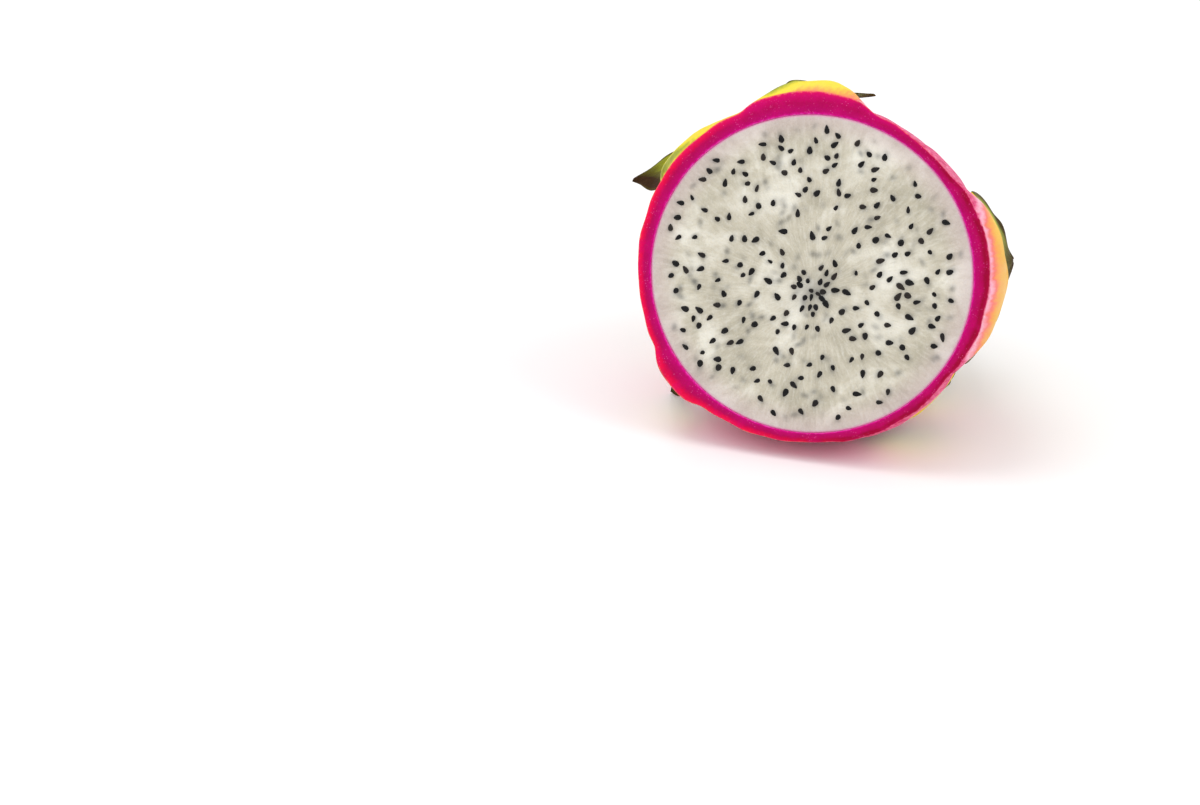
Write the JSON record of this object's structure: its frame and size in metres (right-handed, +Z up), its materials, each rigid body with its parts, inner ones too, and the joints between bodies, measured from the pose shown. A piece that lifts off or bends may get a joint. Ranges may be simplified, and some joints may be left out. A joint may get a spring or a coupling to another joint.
{
  "type": "dragon fruit half",
  "caption": "Half of a white-fleshed dragon fruit, cut crosswise: a magenta rind with leafy bracts round white flesh with black seeds, standing on its side and leaning back.",
  "frame": {"origin": "on the table, in the middle of the flat spot the fruit rests on", "axes": "+Z up; -Y towards the side the cut face looks to, the face leaning back 20 degrees from upright; +X to the right as seen from the cut"},
  "size_m": [0.102, 0.089, 0.0852],
  "materials": {
    "rind": "fresh fruit rind, satin, magenta with yellow-green to brown bract tips",
    "pulp": "wet translucent white fruit flesh",
    "seed": "glossy black seeds"
  },
  "bodies": {
    "root": {"peel": "rind", "flesh": "pulp"}
  },
  "joints": []
}
